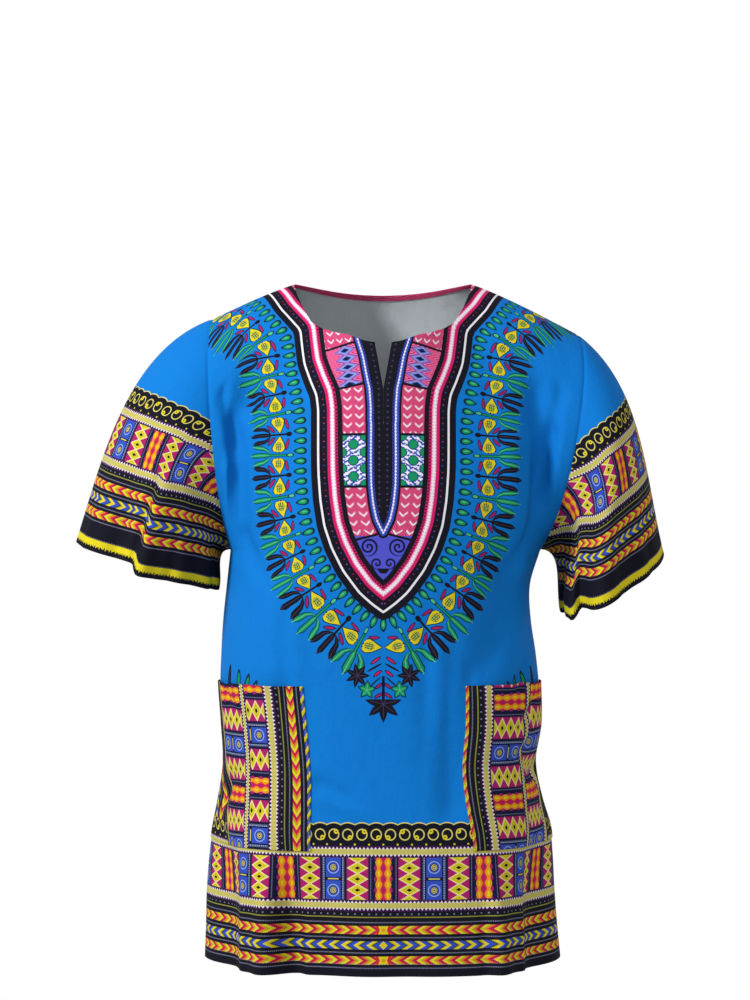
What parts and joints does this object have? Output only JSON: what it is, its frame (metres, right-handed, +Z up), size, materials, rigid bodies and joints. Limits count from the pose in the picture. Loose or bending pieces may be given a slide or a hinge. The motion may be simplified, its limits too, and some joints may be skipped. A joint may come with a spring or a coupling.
{
  "type": "dashiki shirt",
  "caption": "Loose short-sleeved pullover tunic in printed cotton with a notched round neck, set-in sleeves, straight hem and patch pockets, in its hollow worn form.",
  "frame": {"origin": "midway between the two high shoulder points, where the shoulder seams meet the neck edge and the wearer's shoulders carry the shirt", "axes": "+Z up along the wearer, -Y to the wearer's front, +X to the wearer's left"},
  "size_m": [0.6434, 0.2756, 0.7334],
  "materials": {
    "shirt_cotton": "matte plain weave with a printed border and neck yoke",
    "pocket_cotton": "matte plain weave, cut from the printed border"
  },
  "bodies": {
    "root": {"front": "shirt_cotton", "back": "shirt_cotton", "sleeve_right": "shirt_cotton", "sleeve_left": "shirt_cotton", "pocket_right": "pocket_cotton", "pocket_left": "pocket_cotton"}
  },
  "joints": []
}
